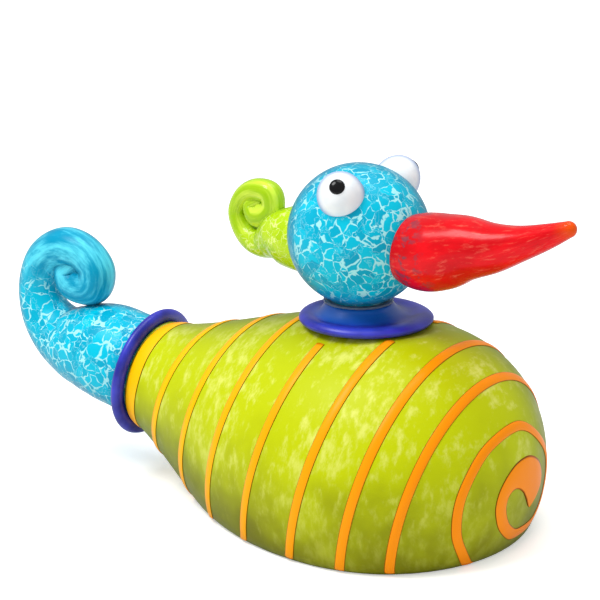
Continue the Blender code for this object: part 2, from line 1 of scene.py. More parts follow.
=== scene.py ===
# %% [markdown]
# # A blown-glass bird
# The bird is made of a dozen pieces of coloured glass: a satin green body wound with an orange thread, a
# turquoise tail and head, cobalt collars, a red beak, a lime crest and white eyes.  This notebook
# dresses the engineering model of those pieces with smooth surfaces and hand-made finishes.

# %% Load the model
import math

import bpy
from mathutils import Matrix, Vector
import numpy as np


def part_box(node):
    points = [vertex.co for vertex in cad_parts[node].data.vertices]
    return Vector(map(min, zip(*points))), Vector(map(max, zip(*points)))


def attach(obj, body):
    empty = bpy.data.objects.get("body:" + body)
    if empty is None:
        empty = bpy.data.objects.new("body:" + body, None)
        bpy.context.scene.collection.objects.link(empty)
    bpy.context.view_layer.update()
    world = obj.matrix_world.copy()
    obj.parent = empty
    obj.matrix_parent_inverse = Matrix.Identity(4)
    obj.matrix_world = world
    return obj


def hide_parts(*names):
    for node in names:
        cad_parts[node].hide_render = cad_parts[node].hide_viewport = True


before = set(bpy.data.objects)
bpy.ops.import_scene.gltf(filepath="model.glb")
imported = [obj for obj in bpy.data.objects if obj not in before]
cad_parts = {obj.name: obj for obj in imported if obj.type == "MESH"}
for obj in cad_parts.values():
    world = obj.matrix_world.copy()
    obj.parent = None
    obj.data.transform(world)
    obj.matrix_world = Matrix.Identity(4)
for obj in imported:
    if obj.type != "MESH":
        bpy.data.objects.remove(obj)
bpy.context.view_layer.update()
scene = bpy.context.scene
TAU = 2 * math.pi
MM = 0.001

# %% [markdown]
# ## Surfaces from formulas
# Each piece of glass is a surface of two numbers: how far along the piece, and how far round it.  We work
# out all the points at once as an array `points[row, column, xyz]`, then hand the array to one mesh
# function.  Rows may shrink to a single point, which becomes a pole shared by a fan of triangles.

# %% Mesh from a grid
def signed_volume(points, triangles):
    """Sum of a . (b x c) / 6 over the triangles: positive when faces point outwards."""
    a, b, c = (points[triangles[:, k]] for k in range(3))
    return float(np.einsum("ij,ij->i", a, np.cross(b, c)).sum() / 6.0)


def grid_mesh(name, points, start_pole=False, end_pole=False, loop_rows=False, row_u=None, column_v=None,
              hidden=None):
    """Mesh round the columns of points[row, column]: quads between rows, fans of triangles at the poles.

    Column j joins column j + 1, and the last joins the first.  The UV map holds row_u, by default the
    row's share of the length, and column_v, by default the column's share of a turn.  Faces that touch a
    hidden point are left out."""
    rows, cols, _ = points.shape
    index = np.arange(rows * cols).reshape(rows, cols)
    after = np.roll(index, -1, axis=1)
    low = np.arange(1 if start_pole else 0, rows if loop_rows else rows - 1 - end_pole)
    high = (low + 1) % rows
    u = np.arange(rows + 1) / (rows - 1 + loop_rows) if row_u is None else np.append(row_u, row_u[0])
    v = np.arange(cols + 1) / cols if column_v is None else np.append(column_v, column_v[0])
    quads = np.stack([index[low], after[low], after[high], index[high]], -1).reshape(-1, 4)
    corner_u = np.stack([u[low], u[low], u[low + 1], u[low + 1]], -1)[:, None]
    corner_v = np.stack([v[:-1], v[1:], v[1:], v[:-1]], -1)[None]
    quad_uv = np.stack(np.broadcast_arrays(corner_u, corner_v), -1).reshape(-1, 4, 2)
    if hidden is not None:
        kept = ~hidden.ravel()[quads].any(axis=1)
        quads, quad_uv = quads[kept], quad_uv[kept]
    middle = (v[:-1] + v[1:]) / 2
    fans, fan_uv = [], []
    if start_pole:
        fans.append(np.stack([np.full(cols, index[0, 0]), after[1], index[1]], -1))
        fan_uv.append(np.stack([np.stack([np.full(cols, u[0]), middle], -1),
                                np.stack([np.full(cols, u[1]), v[1:]], -1),
                                np.stack([np.full(cols, u[1]), v[:-1]], -1)], 1))
    if end_pole:
        fans.append(np.stack([np.full(cols, index[-1, 0]), index[-2], after[-2]], -1))
        fan_uv.append(np.stack([np.stack([np.full(cols, u[rows - 1]), middle], -1),
                                np.stack([np.full(cols, u[rows - 2]), v[:-1]], -1),
                                np.stack([np.full(cols, u[rows - 2]), v[1:]], -1)], 1))
    fans = np.concatenate(fans) if fans else np.empty((0, 3), int)
    corners = np.concatenate([quads.ravel(), fans.ravel()])
    uv = np.concatenate([quad_uv.reshape(-1, 2)] + [part.reshape(-1, 2) for part in fan_uv])
    used, corners = np.unique(corners, return_inverse=True)
    flat = points.reshape(-1, 3)[used]
    sizes = np.concatenate([np.full(len(quads), 4), np.full(len(fans), 3)])
    mesh = bpy.data.meshes.new(name)
    mesh.vertices.add(len(flat))
    mesh.vertices.foreach_set("co", flat.astype(np.float32).ravel())
    mesh.loops.add(len(corners))
    mesh.loops.foreach_set("vertex_index", corners.astype(np.int32).ravel())
    mesh.polygons.add(len(sizes))
    mesh.polygons.foreach_set("loop_start", (np.cumsum(sizes) - sizes).astype(np.int32))
    mesh.uv_layers.new(name="UVMap").data.foreach_set("uv", uv.astype(np.float32).ravel())
    mesh.update(calc_edges=True)
    squares = corners.ravel()[:4 * len(quads)].reshape(-1, 4)
    triangles = np.concatenate([squares[:, [0, 1, 2]], squares[:, [0, 2, 3]],
                                corners.ravel()[4 * len(quads):].reshape(-1, 3)])
    if signed_volume(flat - flat.mean(axis=0), triangles) < 0:
        mesh.flip_normals()
    mesh.shade_smooth()
    thing = bpy.data.objects.new(name, mesh)
    scene.collection.objects.link(thing)
    print(f"{name}: {len(triangles)} triangles")
    return thing


def finish_piece(thing, material, body, nodes):
    """Gives a piece its material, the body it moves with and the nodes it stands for."""
    thing.data.materials.append(material)
    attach(thing, body)
    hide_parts(*nodes)
    return thing


# %% [markdown]
# ## Smooth curves through a few points
# A glass worker's curl has no straight stretch and no corner.  A Catmull-Rom curve passes through each
# given point and leaves it in the direction of its neighbours, so a few points give a smooth line
# together with a smoothly changing thickness.

# %% Curves and tubes
def smooth_through(knots, values, at):
    """Cubic Hermite curve through (knot, value), with slopes taken across the two neighbours."""
    knots, values = np.asarray(knots, float), np.asarray(values, float)
    values = values.reshape(len(knots), -1)
    slope = np.gradient(values, knots, axis=0)
    k = np.clip(np.searchsorted(knots, at, side="right") - 1, 0, len(knots) - 2)
    width = (knots[k + 1] - knots[k])[:, None]
    t = np.clip((np.asarray(at) - knots[k])[:, None] / width, 0, 1)
    a, b = values[k], values[k + 1]
    return ((2 * t ** 3 - 3 * t ** 2 + 1) * a + (t ** 3 - 2 * t ** 2 + t) * width * slope[k]
            + (3 * t ** 2 - 2 * t ** 3) * b + (t ** 3 - t ** 2) * width * slope[k + 1])


def middle_line(points, count):
    """A line of (x, z, radius) resampled evenly by length, through the given points."""
    points = np.asarray(points, float)
    run = np.concatenate([[0], np.cumsum(np.hypot(*np.diff(points[:, :2], axis=0).T))])
    dense = smooth_through(run, points, np.linspace(0, run[-1], 8 * count))
    length = np.concatenate([[0], np.cumsum(np.hypot(*np.diff(dense[:, :2], axis=0).T))])
    even = np.linspace(0, length[-1], count)
    return np.stack([np.interp(even, length, dense[:, k]) for k in range(3)], -1)


def round_tip(line, steps=10):
    """Carries a line on into a half-round tip: radius r cos a at a distance r sin a past its end."""
    run = line[-1, :2] - line[-2, :2]
    run /= np.hypot(*run)
    angle = np.linspace(0, math.pi / 2, steps + 1)[1:]
    radius = line[-1, 2]
    ahead = line[-1, :2] + radius * np.sin(angle)[:, None] * run
    return np.concatenate([line, np.column_stack([ahead, radius * np.cos(angle)])])


ON_THE_LINE = np.array([1, 1, 0])      # takes a row's radius away, so that its circle becomes a pole


def tube(line, count):
    """Circles of the given radius square to the line in the plane y = 0, as points[row, column]."""
    run = np.gradient(line[:, :2], axis=0)
    run /= np.hypot(run[:, 0], run[:, 1])[:, None]
    across = np.column_stack([run[:, 1], np.zeros(len(line)), -run[:, 0]])
    turn = np.linspace(0, TAU, count, endpoint=False)
    centre = np.column_stack([line[:, 0], np.zeros(len(line)), line[:, 1]])
    out = np.cos(turn)[None, :, None] * across[:, None] + np.sin(turn)[None, :, None] * np.array([0, 1, 0])
    return centre[:, None] + line[:, 2][:, None, None] * out


def lathe(profile, count):
    """Profile of (radius, z) turned about the upright axis through the origin, as points[row, column]."""
    turn = np.linspace(0, TAU, count, endpoint=False)
    radius, z = profile[:, 0:1], profile[:, 1:2]
    return np.stack([radius * np.cos(turn), radius * np.sin(turn),
                     np.broadcast_to(z, (len(profile), count))], -1)


# %% [markdown]
# ## The body's shape
# The body was blown as an egg with a long neck, bent up a little at both ends, and set down hot, so that
# its underside went flat.  Along its axis the radius rises as a power of a sine and closes as a
# super-ellipse.  A parabola rounds the wall into the flat base, and a soft minimum presses the seat
# under the neck collar.

# %% Body surface
BODY_LENGTH = 0.304
BODY_RADIUS = 0.108
BODY_WALL = 0.006
WIDEST = 0.66
PITCH = math.radians(9.4)
AXIS_MIDDLE = np.array([-0.0216, 0.0, 0.0427])
MOUTH_RADIUS = 0.0395
TAIL_RISE, NOSE_RISE = 0.0055, 0.013
BASE_ROUNDING = 0.007
NECK_REGION = 0.1             # only the skin above this height meets the neck collar
SEAT_SLOPE, SEAT_SOFTNESS = 0.25, 0.8 * MM
NOSE_POWER, REAR_POWER = 2.2, 1.3
ALONG = np.array([math.cos(PITCH), 0.0, -math.sin(PITCH)])
UPWARD = np.array([math.sin(PITCH), 0.0, math.cos(PITCH)])
COLLAR_X, COLLAR_RADIUS = 0.0063, 0.046
COLLAR_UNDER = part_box("neck_collar")[0][2]
NECK_BORE = 0.0215


def body_radius(share):
    """Mouth + (widest - mouth) sin^1.3 behind the widest place; R sqrt(1 - reach^2.2) before it."""
    rear = np.sin(0.5 * math.pi * np.clip(share, 0, WIDEST) / WIDEST) ** REAR_POWER
    reach = np.clip((share - WIDEST) / (1 - WIDEST), 0, 1)
    nose = BODY_RADIUS * np.sqrt(1 - reach ** NOSE_POWER)
    return np.where(share <= WIDEST, MOUTH_RADIUS + (BODY_RADIUS - MOUTH_RADIUS) * rear, nose)


def nose_share(radius):
    """The station at which the nose has a given radius: body_radius turned inside out."""
    return WIDEST + (1 - WIDEST) * (1 - (radius / BODY_RADIUS) ** 2) ** (1 / NOSE_POWER)


def body_points(share, turn):
    """Axis point + radius (cos t up - sin t y), floored by a parabola and pressed by the collar."""
    share, turn = np.broadcast_arrays(np.asarray(share, float), np.asarray(turn, float))
    bend = TAIL_RISE * (1 - share) ** 4 + NOSE_RISE * share ** 5
    axis = AXIS_MIDDLE + ((share - 0.5) * BODY_LENGTH)[..., None] * ALONG + bend[..., None] * UPWARD
    side = np.array([0.0, -1.0, 0.0])
    point = axis + body_radius(share)[..., None] * (
        np.cos(turn)[..., None] * UPWARD + np.sin(turn)[..., None] * side)
    z = point[..., 2]
    rounded = (z + BASE_ROUNDING) ** 2 / (4 * BASE_ROUNDING)
    z = np.where(z <= -BASE_ROUNDING, 0.0, np.where(z < BASE_ROUNDING, rounded, z))
    reach = np.maximum(np.hypot(point[..., 0] - COLLAR_X, point[..., 1]) - COLLAR_RADIUS - 0.5 * MM, 0)
    seat = COLLAR_UNDER - 0.4 * MM + SEAT_SLOPE * reach
    pressed = -SEAT_SOFTNESS * np.logaddexp(-z / SEAT_SOFTNESS, -seat / SEAT_SOFTNESS)
    point[..., 2] = np.where(z > NECK_REGION, pressed, z)
    return point


# %% [markdown]
# The thick glass wall shows at the neck when the head is lifted out.  So the skin gets a round opening
# there: faces inside the circle go, the ring of points next to it is drawn onto the circle, and a
# Solidify modifier turns the open skin into a wall.

# %% Body mesh
BODY_ROWS, BODY_COLUMNS, REAR_ROWS_SHARE = 150, 144, 0.6


def body_skin():
    """The skin's points on a grid finer towards the nose, and which of them lie in the neck opening."""
    rear = np.linspace(0, WIDEST, int(BODY_ROWS * REAR_ROWS_SHARE), endpoint=False)
    nose = WIDEST + (1 - WIDEST) * np.sin(np.linspace(0, math.pi / 2, BODY_ROWS - len(rear)))
    turn = np.linspace(0, TAU, BODY_COLUMNS, endpoint=False)
    points = body_points(np.concatenate([rear, nose])[:, None], turn[None, :])
    away = np.hypot(points[..., 0], points[..., 1])
    inside = (points[..., 2] > NECK_REGION) & (away < NECK_BORE)
    beside = inside.copy()
    for row in (-1, 0, 1):
        for column in (-1, 0, 1):
            beside |= np.roll(inside, (row, column), (0, 1))
    edge = beside & ~inside
    pull = np.where(edge, NECK_BORE / np.maximum(away, 1e-6), 1.0)
    points[..., :2] *= pull[..., None]
    return points, inside


def body_mesh():
    """The skin as a mesh, thickened inwards into a wall."""
    points, inside = body_skin()
    thing = grid_mesh("green_body", points, end_pole=True, hidden=inside)
    wall = thing.modifiers.new("wall", "SOLIDIFY")
    wall.thickness, wall.offset = BODY_WALL, -1.0
    return thing


# %% [markdown]
# ## The thread
# While the body turned on the blowpipe, one hot thread of orange glass was laid round and round it, from
# the tail to a big comma on the nose, and marvered nearly flush.  Its middle line is the body's surface
# at a station that advances with the turns.  The section is a low lens: half a cosine across.

# %% Thread
THREAD_KNOTS = np.array([     # (turns, place along the body's length)
    (0.50, 0.006), (0.62, 0.015), (0.75, 0.0225), (0.88, 0.0235), (1.0, 0.029), (1.25, 0.0584),
    (2, 0.158), (3, 0.272), (4, 0.389), (5, 0.524), (6, 0.661), (7, 0.778), (8, 0.874), (8.6, 0.944)])
THREAD_WIDTHS = np.array([     # (turns, width in millimetres)
    (0.5, 1.0), (0.62, 9.0), (0.78, 12.5), (0.9, 12.0), (1.05, 9.0), (1.3, 6.8), (9.0, 7.0)])
THREAD_FIRST, THREAD_LAST, THREAD_STEPS = 0.53, 8.62, 1800
NOSE_THREAD = MM * np.array([     # the last turn's outer and inner edge, each (up, right) of the axis
    (-35.0, 44.5, -30.9, 39.3), (-28.9, 51.1, -25.7, 45.3), (-2.4, 65.4, -2.2, 58.8),
    (27.1, 62.7, 24.5, 56.7), (53.4, 39.8, 48.2, 35.8), (61.0, 1.8, 54.4, 1.8),
    (41.5, -30.1, 36.1, -26.3), (21.0, -45.5, 18.2, -39.5), (-5.4, -44.0, -4.6, -37.4),
    (-17.6, -31.8, -14.4, -26.0), (-22.2, -18.5, -16.0, -15.5), (-22.7, -4.5, -15.5, -3.5),
    (-21.5, 9.5, -14.2, 6.0), (-17.0, 18.5, -11.0, 12.0), (-9.0, 27.5, -6.0, 18.0), (-1.0, 32.5, 1.0, 22.5),
    (9.5, 35.3, 8.0, 24.3), (20.5, 32.5, 14.3, 22.6), (30.0, 24.0, 17.6, 17.5), (35.9, 12.2, 16.7, 12.0),
    (36.2, -3.0, 12.5, 6.3), (29.5, -17.0, 8.0, 2.8), (20.5, -24.5, 4.5, 0.2), (11.0, -26.0, 1.0, -2.3),
    (4.5, -20.5, -1.2, -4.5), (0.0, -9.5, -2.3, -6.0)])
THREAD_RISE = 0.75 * MM
THREAD_LIFT = 0.12 * MM
GROUND_FADE = 3 * MM          # below this height the thread was ground thinner
GROUND_CUT = 0.8 * MM         # and below this one it is gone
STEP = 1e-3                   # for slopes, in turns or in shares of the length
TAIL_END, NOSE_END = 0.0005, 0.99995
ABOVE, BELOW = np.linspace(-1, 1, 15), np.linspace(1, -1, 7)[1:-1]
ACROSS = np.concatenate([ABOVE, BELOW])
LENS = np.append(np.cos(0.5 * math.pi * ABOVE) ** 0.6, 0 * BELOW)


def thread_share(turn):
    """Station of the thread's middle after so many turns, smooth through the knots."""
    return smooth_through(THREAD_KNOTS[:, 0], THREAD_KNOTS[:, 1], turn)[:, 0]


def thread_frame(turn):
    """Middle point, direction across and outward normal of the thread at each turn."""
    share, angle = np.clip(thread_share(turn), TAIL_END, 1), -TAU * turn
    middle = body_points(share, angle)
    ahead = body_points(np.clip(thread_share(turn + STEP), TAIL_END, 1), angle - TAU * STEP)
    back = body_points(np.clip(thread_share(turn - STEP), TAIL_END, 1), angle + TAU * STEP)
    normal = np.cross(body_points(share + STEP / 4, angle) - middle, ahead - back)
    normal /= np.linalg.norm(normal, axis=1)[:, None]
    run = (ahead - back) / np.linalg.norm(ahead - back, axis=1)[:, None]
    return middle, np.cross(normal, run), normal


def on_body(points):
    """Drops points near the skin onto it, along the body's own section radius."""
    middle = points - AXIS_MIDDLE
    share = middle @ ALONG / BODY_LENGTH + 0.5
    for _ in range(3):
        bend = TAIL_RISE * (1 - share) ** 4 + NOSE_RISE * share ** 5
        up, side = middle @ UPWARD - bend, -middle[..., 1]
        excess = np.hypot(up, side) - body_radius(np.clip(share, 0, 1))
        slope = (body_radius(np.clip(share + STEP, 0, 1)) - body_radius(np.clip(share - STEP, 0, 1))) / (
            2 * STEP * BODY_LENGTH)
        share = np.clip(share + excess / (1 + slope ** 2) * slope / BODY_LENGTH, TAIL_END, NOSE_END)
    return body_points(share, np.arctan2(side, up))


def strip_mesh(name, foot, normal, turns):
    """Closed strip: the lens stands on the foot points, and is thinner where they near the ground."""
    low = np.clip(foot[..., 2:3] / GROUND_FADE, 0.1, 1)
    skin = foot + normal * (THREAD_LIFT + THREAD_RISE * LENS[None, :, None] * low)
    ends = [np.repeat(skin[k][None].mean(axis=1, keepdims=True), len(ACROSS), 1) for k in (0, -1)]
    return grid_mesh(name, np.concatenate([ends[0], skin, ends[1]]), True, True,
                     row_u=np.concatenate([turns[:1], turns, turns[-1:]]) / 10, column_v=0.5 + 0.5 * ACROSS)


def body_thread():
    """From the tail to the nose: a strip for each stretch clear of the ground and of the collar."""
    turn = np.linspace(THREAD_FIRST, THREAD_LAST, THREAD_STEPS)
    middle, across, normal = thread_frame(turn)
    width = np.interp(turn, *THREAD_WIDTHS.T) * MM
    reach = np.hypot(middle[:, 0] - COLLAR_X, middle[:, 1]) - COLLAR_RADIUS
    under_collar = (middle[:, 2] > NECK_REGION) & (reach < -1.5 * MM)
    hidden = under_collar | (middle[:, 2] < GROUND_CUT)
    starts = np.flatnonzero(~hidden & np.append(True, hidden[:-1]))
    stops = np.flatnonzero(~hidden & np.append(hidden[1:], True)) + 1
    strips = []
    for number, (a, b) in enumerate(zip(starts, stops)):
        if b - a > 4:
            wide = 0.5 * width[a:b, None, None] * ACROSS[None, :, None] * across[a:b, None]
            strips.append(strip_mesh(f"thread_{number:02d}", on_body(middle[a:b, None] + wide),
                                     normal[a:b, None], turn[a:b]))
    return strips


def nose_thread():
    """The last turn and its comma: edges smooth through the knots, and points between them on the nose."""
    knots = np.arange(len(NOSE_THREAD))
    at = np.linspace(0.3, knots[-1], 300)
    edges = smooth_through(knots, NOSE_THREAD, at)
    share = (0.5 - 0.5 * ACROSS)[None, :, None]
    place = edges[:, None, 2:] * (1 - share) + edges[:, None, :2] * share

    def on_nose(place):
        up, right = place[..., 0], place[..., 1]
        return body_points(nose_share(np.hypot(up, right)), np.arctan2(right, up))

    foot, step = on_nose(place), 0.05 * MM
    normal = np.cross(on_nose(place + (0, step)) - foot, on_nose(place + (step, 0)) - foot)
    normal /= np.linalg.norm(normal, axis=-1, keepdims=True)
    normal *= np.sign(np.sum(normal * ALONG, axis=-1, keepdims=True))
    return strip_mesh("thread_comma", foot, normal, 8.6 + 1.7 * at / knots[-1])


# %% [markdown]
# ## Finishes
# The glass is satin: acid or sand has taken off its gloss, so light spreads in it.  Each colour was rolled
# up from crushed glass, called frit, whose grains melt into islands with thin seams between them.
# A finish here is a small shader node group that answers with a colour, and the Principled shader stays
# in the material.

# %% Node helpers
def linear(red, green, blue):
    """Display colour, 0 to 255, as linear light."""
    value = np.array([red, green, blue]) / 255.0
    value = np.where(value <= 0.04045, value / 12.92, ((value + 0.055) / 1.055) ** 2.4)
    return (*value.tolist(), 1.0)


def node(tree, kind, inputs=(), **settings):
    """Adds a node: inputs maps socket names or numbers to constants or to other nodes' outputs."""
    made = tree.nodes.new(kind)
    for key, value in settings.items():
        setattr(made, key, value)
    for key, value in dict(inputs).items():
        if isinstance(value, bpy.types.NodeSocket):
            tree.links.new(value, made.inputs[key])
        else:
            made.inputs[key].default_value = value
    return made


def maths(tree, operation, *values):
    return node(tree, "ShaderNodeMath", dict(enumerate(values)), operation=operation).outputs[0]


def mixed(tree, share, first, second):
    """Colour mix: first where share is 0, second where it is 1."""
    made = node(tree, "ShaderNodeMix", {0: share, 6: first, 7: second}, data_type="RGBA")
    return made.outputs[2]


def stretch(tree, value, low, high, to_low=0.0, to_high=1.0):
    """Smooth step of value from low..high to to_low..to_high."""
    made = node(tree, "ShaderNodeMapRange", {0: value, 1: low, 2: high, 3: to_low, 4: to_high},
                interpolation_type="SMOOTHSTEP")
    return made.outputs[0]


def noise(tree, vector, scale, detail=3.0, roughness=0.5):
    return node(tree, "ShaderNodeTexNoise", {"Vector": vector, "Scale": scale, "Detail": detail,
                                             "Roughness": roughness})


def group(name, inputs, outputs):
    """Empty shader group with typed sockets; answers the tree, its input sockets and its output node."""
    tree = bpy.data.node_groups.new(name, "ShaderNodeTree")
    for label, kind, value in inputs:
        socket = tree.interface.new_socket(label, in_out="INPUT", socket_type="NodeSocket" + kind)
        if value is not None:
            socket.default_value = value
    for label, kind in outputs:
        tree.interface.new_socket(label, in_out="OUTPUT", socket_type="NodeSocket" + kind)
    source = tree.nodes.new("NodeGroupInput")
    return tree, source.outputs, tree.nodes.new("NodeGroupOutput")


def use_group(tree, shared, **inputs):
    made = node(tree, "ShaderNodeGroup", (), node_tree=shared)
    for label, value in inputs.items():
        socket = made.inputs[label.replace("_", " ")]
        if isinstance(value, bpy.types.NodeSocket):
            tree.links.new(value, socket)
        else:
            socket.default_value = value
    return made.outputs


# %% [markdown]
# **Frit islands.**  The distance to the edge of a Voronoi cell draws the seams.  Two sizes of noise bend the
# lookup place so that seams wander, and a third thins some of them out until neighbouring islands flow
# together, as softened grains do.  The pale seams are the clear glass under the colour.

# %% Frit group
def frit_group():
    tree, given, out = group("frit_islands", [
        ("Vector", "Vector", None), ("Grain", "Float", 0.008), ("Island", "Color", None),
        ("Deep", "Color", None), ("Seam", "Color", None), ("Seam Width", "Float", 0.12)],
        [("Color", "Color"), ("Seam Mask", "Float")])
    scale = maths(tree, "DIVIDE", 1.0, given["Grain"])
    place = given["Vector"]
    for share, reach in ((0.45, 0.9), (1.6, 0.2)):
        bend = noise(tree, given["Vector"], maths(tree, "MULTIPLY", scale, share), 2.0)
        centred = node(tree, "ShaderNodeVectorMath", {0: bend.outputs["Color"], 1: (0.5, 0.5, 0.5)},
                       operation="SUBTRACT").outputs[0]
        shift = node(tree, "ShaderNodeVectorMath", {0: centred, "Scale": maths(
            tree, "MULTIPLY", given["Grain"], 2 * reach)}, operation="SCALE").outputs[0]
        place = node(tree, "ShaderNodeVectorMath", {0: place, 1: shift}, operation="ADD").outputs[0]
    cells = node(tree, "ShaderNodeTexVoronoi", {"Vector": place, "Scale": scale, "Randomness": 1.0},
                 feature="DISTANCE_TO_EDGE")
    tint = node(tree, "ShaderNodeTexVoronoi", {"Vector": place, "Scale": scale, "Randomness": 1.0},
                feature="F1")
    thin = noise(tree, place, maths(tree, "MULTIPLY", scale, 0.8), 3.0, 0.6).outputs[0]
    width = maths(tree, "MULTIPLY", given["Seam Width"], stretch(tree, thin, 0.38, 0.72, -0.1, 1.7))
    inner = maths(tree, "MULTIPLY", width, 0.35)
    seam = node(tree, "ShaderNodeMapRange", {0: cells.outputs["Distance"], 1: inner, 2: maths(
        tree, "ADD", width, 0.001), 3: 1.0, 4: 0.0}, interpolation_type="SMOOTHSTEP").outputs[0]
    seam = maths(tree, "MULTIPLY", seam, stretch(tree, thin, 0.38, 0.48))
    shade = node(tree, "ShaderNodeSeparateColor", {0: tint.outputs["Color"]}).outputs[0]
    island = mixed(tree, shade, given["Deep"], given["Island"])
    tree.links.new(mixed(tree, seam, island, given["Seam"]), out.inputs["Color"])
    tree.links.new(seam, out.inputs["Seam Mask"])
    return tree


# %% [markdown]
# ** Clouds.** On the body the frit has melted right out into soft clouds. Two sizes of noise lay pale
# clouds over a middle colour, and the clouds grow stronger higher up, a painted highlight on the top.
# A deep colour takes over towards the ground as painted shade.

# %% Cloud and streak groups
def cloud_and_shade_group():
    tree, given, out = group("clouds", [
        ("Vector", "Vector", None), ("Pale", "Color", None), ("Middle", "Color", None),
        ("Deep", "Color", None), ("Low", "Float", 0.0), ("High", "Float", 0.1)],
        [("Color", "Color"), ("Cloud Mask", "Float")])
    height = node(tree, "ShaderNodeSeparateXYZ", {0: given["Vector"]}).outputs[2]
    drawn = node(tree, "ShaderNodeVectorMath", {0: given["Vector"], 1: (1.0, 0.6, 0.45)},
                 operation="MULTIPLY").outputs[0]
    large = noise(tree, given["Vector"], 24.0, 3.0, 0.5).outputs[0]
    small = noise(tree, drawn, 170.0, 5.0, 0.65).outputs[0]
    lift = node(tree, "ShaderNodeMapRange", {0: height, 1: given["Low"], 2: given["High"]}).outputs[0]
    # Painted shade: the deep colour takes over towards the ground.
    ground_shade_share = maths(tree, "SUBTRACT", 1.0, maths(tree, "ADD", lift, maths(
        tree, "MULTIPLY", maths(tree, "SUBTRACT", large, 0.5), 0.9)))
    ground = mixed(tree, stretch(tree, ground_shade_share, 0.1, 1.0), given["Middle"], given["Deep"])
    cloud = stretch(tree, maths(tree, "ADD", maths(tree, "MULTIPLY", large, 0.35),
                                maths(tree, "MULTIPLY", small, 0.65)), 0.48, 0.66)
    # Painted highlight: the pale clouds grow stronger up the body, lighting its top.
    cloud = maths(tree, "MULTIPLY", cloud, stretch(tree, lift, 0.05, 1.1, 0.12, 0.85))
    tree.links.new(mixed(tree, cloud, ground, given["Pale"]), out.inputs["Color"])
    tree.links.new(cloud, out.inputs["Cloud Mask"])
    return tree


def streak_group():
    """Streaks drawn out along a pulled piece: noise looked up on a UV map that is long in u."""
    tree, given, out = group("streaks", [
        ("UV", "Vector", None), ("Along", "Float", 3.0), ("Around", "Float", 9.0), ("Light", "Color", None),
        ("Dark", "Color", None), ("Bias", "Float", 0.5)],
        [("Color", "Color"), ("Streak Mask", "Float")])
    parts = node(tree, "ShaderNodeSeparateXYZ", {0: given["UV"]}).outputs
    turn = maths(tree, "MULTIPLY", parts[1], TAU)
    size = maths(tree, "DIVIDE", given["Around"], TAU)
    place = node(tree, "ShaderNodeCombineXYZ", {
        0: maths(tree, "MULTIPLY", parts[0], given["Along"]),
        1: maths(tree, "MULTIPLY", maths(tree, "COSINE", turn), size),
        2: maths(tree, "MULTIPLY", maths(tree, "SINE", turn), size)}).outputs[0]
    grain = noise(tree, place, 1.0, 5.0, 0.6).outputs[0]
    spread = stretch(tree, maths(tree, "ADD", grain, maths(tree, "SUBTRACT", given["Bias"], 0.5)), 0.36, 0.64)
    tree.links.new(mixed(tree, spread, given["Dark"], given["Light"]), out.inputs["Color"])
    tree.links.new(spread, out.inputs["Streak Mask"])
    return tree


def satin_group():
    """Normal of a satin surface: fine grain over slow hand-made waves, both in real sizes."""
    tree, given, out = group("satin", [("Vector", "Vector", None), ("Strength", "Float", 0.1)],
                             [("Normal", "Vector"), ("Roughness", "Float")])
    waves = noise(tree, given["Vector"], 60.0, 2.0).outputs[0]
    grain = noise(tree, given["Vector"], 1500.0, 2.0).outputs[0]
    height = maths(tree, "ADD", waves, maths(tree, "MULTIPLY", grain, 0.06))
    bump = node(tree, "ShaderNodeBump",
                {"Strength": given["Strength"], "Distance": 1.0 * MM, "Height": height})
    tree.links.new(bump.outputs[0], out.inputs["Normal"])
    tree.links.new(stretch(tree, waves, 0.3, 0.7, 0.9, 1.1), out.inputs["Roughness"])
    return tree


FRIT, CLOUDS_AND_SHADE, STREAKS, SATIN = frit_group(), cloud_and_shade_group(), streak_group(), satin_group()
print("groups:", [shared.name for shared in (FRIT, CLOUDS_AND_SHADE, STREAKS, SATIN)])


# %% [markdown]
# A material sets a Principled shader: its colour from a paint function, a roughness of 0.3 to 0.4 for
# satin and less for the fire-polished pieces, and on some of those a thin smooth coat.

# %% Material maker
def satin_material(name, paint, edge, roughness=0.34, coat=0.0, strength=0.2, specular=0.12):
    """Principled material: paint(tree, object place, UV) answers its colour, which turns to the edge colour
    where the surface is seen at a grazing angle: a painted shade that stands in for the longer way light
    has through the glass there."""
    material = bpy.data.materials.new(name)
    material.use_nodes = True
    tree = material.node_tree
    shader = tree.nodes["Principled BSDF"]
    where = tree.nodes.new("ShaderNodeTexCoord").outputs
    facing = node(tree, "ShaderNodeLayerWeight", {"Blend": 0.5}).outputs["Facing"]
    # Painted shade: the edge colour takes over where the surface is seen at a grazing angle.
    painted_edge_shade = maths(tree, "MULTIPLY", stretch(tree, facing, 0.35, 1.0), edge[3])
    tree.links.new(mixed(tree, painted_edge_shade, paint(tree, where["Object"], where["UV"]), linear(*edge[:3])),
                   shader.inputs["Base Color"])
    satin = use_group(tree, SATIN, Vector=where["Object"], Strength=strength)
    tree.links.new(satin["Normal"], shader.inputs["Normal"])
    tree.links.new(maths(tree, "MULTIPLY", satin["Roughness"], roughness), shader.inputs["Roughness"])
    shader.inputs["Specular IOR Level"].default_value = specular
    shader.inputs["Coat Weight"].default_value = coat
    shader.inputs["Coat Roughness"].default_value = 0.12
    return material


def paint_body(tree, place, uv):
    # Deep paints shade towards the ground; the pale clouds, thickened upwards, paint a highlight on the top.
    return use_group(tree, CLOUDS_AND_SHADE, Vector=place, Pale=linear(224, 228, 112), Middle=linear(192, 204, 0),
                     Deep=linear(116, 118, 0), Low=-0.01, High=0.10)["Color"]


def paint_turquoise(tree, place, uv):
    return use_group(tree, FRIT, Vector=place, Grain=0.0074, Island=linear(0, 198, 226),
                     Deep=linear(0, 162, 196), Seam=linear(166, 234, 238), Seam_Width=0.10)["Color"]


